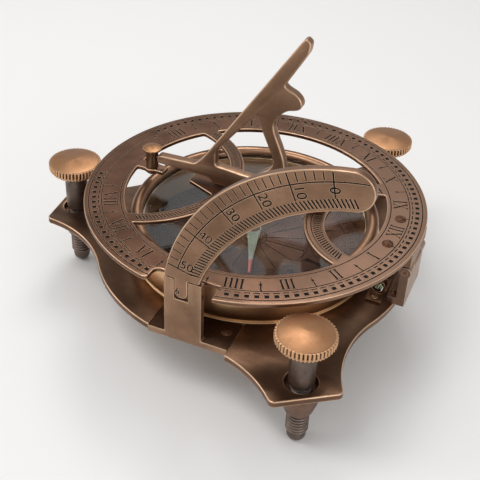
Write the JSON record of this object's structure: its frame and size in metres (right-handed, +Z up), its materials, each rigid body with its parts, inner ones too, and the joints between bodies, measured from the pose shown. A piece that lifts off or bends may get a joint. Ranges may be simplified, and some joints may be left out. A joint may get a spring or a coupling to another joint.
{
  "type": "sundial compass",
  "caption": "Inclining horizontal sundial over a glazed compass bowl, with folding gnomon and latitude arc, on a three-eared base plate with levelling screws.",
  "frame": {"origin": "middle of the bowl's register face, flush with the base plate's underside, on the axis of the compass bowl and hour ring", "axes": "+X towards the noon mark and the dial's hinge (north), +Z up, so the latitude arc stands on the -Y side"},
  "size_m": [0.14, 0.1449, 0.1095],
  "materials": {
    "aged_brass": "chemically aged copper brown, edges rubbed bright",
    "polished_brass": "aged copper, polished back",
    "dark_brass": "turned, dark oxide",
    "fastener_brass": "turned, satin",
    "card_brass": "etched and darkened sheet",
    "gasket_rubber": "matt black",
    "clear_glass": "clear, polished",
    "level_fluid": "tinted spirit with one bubble",
    "needle_paint": "pale painted sheet steel, one end red"
  },
  "bodies": {
    "base": {"base_plate": "aged_brass", "near_bush": "dark_brass", "south_bush": "dark_brass", "far_bush": "dark_brass", "compass_bowl": "polished_brass", "bowl_screws": "fastener_brass", "compass_card": "card_brass", "needle_pivot": "fastener_brass", "glass_gasket": "gasket_rubber", "bowl_glass": "clear_glass", "bowl_bezel": "polished_brass", "arc_bracket": "aged_brass", "bracket_rivets": "fastener_brass", "arc_pin": "fastener_brass", "hinge_upright": "aged_brass", "upright_rivets": "fastener_brass", "hinge_pin": "fastener_brass", "level_cradle": "fastener_brass", "level_screws": "fastener_brass", "level_vial": "clear_glass", "level_spirit": "level_fluid"},
    "dial": {"hour_ring": "aged_brass", "hinge_lug": "aged_brass", "dial_screws": "fastener_brass", "south_gnomon_post": "fastener_brass", "post_disc": "polished_brass", "north_gnomon_post": "fastener_brass"},
    "gnomon_leaf": {"gnomon": "aged_brass", "gnomon_pins": "fastener_brass"},
    "arc_leaf": {"latitude_arc": "aged_brass"},
    "compass_needle": {"needle": "needle_paint", "needle_cap": "fastener_brass"},
    "near_leg": {"near_stem": "dark_brass"},
    "south_leg": {"south_stem": "dark_brass"},
    "far_leg": {"far_stem": "dark_brass"},
    "near_grip": {"near_knob": "polished_brass"},
    "south_grip": {"south_knob": "polished_brass"},
    "far_grip": {"far_knob": "polished_brass"}
  },
  "joints": [
    {"name": "dial_tilt", "type": "hinge", "parent": "base", "child": "dial", "pos_m": [0.0579, 0, 0.0164], "axis": [0, 1, 0], "range_deg": [0, 68]},
    {"name": "gnomon_fold", "type": "hinge", "parent": "dial", "child": "gnomon_leaf", "pos_m": [0, 0, 0.0295], "axis": [-1, 0, 0], "range_deg": [0, 90]},
    {"name": "latitude_arc_fold", "type": "hinge", "parent": "base", "child": "arc_leaf", "pos_m": [-0.002, -0.0542, 0.0202], "axis": [1, 0, 0], "range_deg": [0, 90]},
    {"name": "needle_spin", "type": "hinge", "parent": "base", "child": "compass_needle", "pos_m": [0, 0, 0.0092], "axis": [0, 0, 1], "continuous": true},
    {"name": "near_screw_rise", "type": "slide", "parent": "base", "child": "near_leg", "axis": [0, 0, 1], "range_m": [-0.002, 0.004]},
    {"name": "south_screw_rise", "type": "slide", "parent": "base", "child": "south_leg", "axis": [0, 0, 1], "range_m": [-0.002, 0.004]},
    {"name": "far_screw_rise", "type": "slide", "parent": "base", "child": "far_leg", "axis": [0, 0, 1], "range_m": [-0.002, 0.004]},
    {"name": "near_screw_turn", "type": "hinge", "parent": "near_leg", "child": "near_grip", "pos_m": [0.04055, -0.05791, 0.02], "axis": [0, 0, 1], "range_deg": [-577, 1153]},
    {"name": "south_screw_turn", "type": "hinge", "parent": "south_leg", "child": "south_grip", "pos_m": [-0.07043, -0.00616, 0.02], "axis": [0, 0, 1], "range_deg": [-577, 1153]},
    {"name": "far_screw_turn", "type": "hinge", "parent": "far_leg", "child": "far_grip", "pos_m": [0.02988, 0.06408, 0.02], "axis": [0, 0, 1], "range_deg": [-577, 1153]}
  ],
  "couplings": [
    {"joint": "near_screw_turn", "follows": "near_screw_rise", "rad_per_m": 5026.5},
    {"joint": "south_screw_turn", "follows": "south_screw_rise", "rad_per_m": 5026.5},
    {"joint": "far_screw_turn", "follows": "far_screw_rise", "rad_per_m": 5026.5}
  ]
}
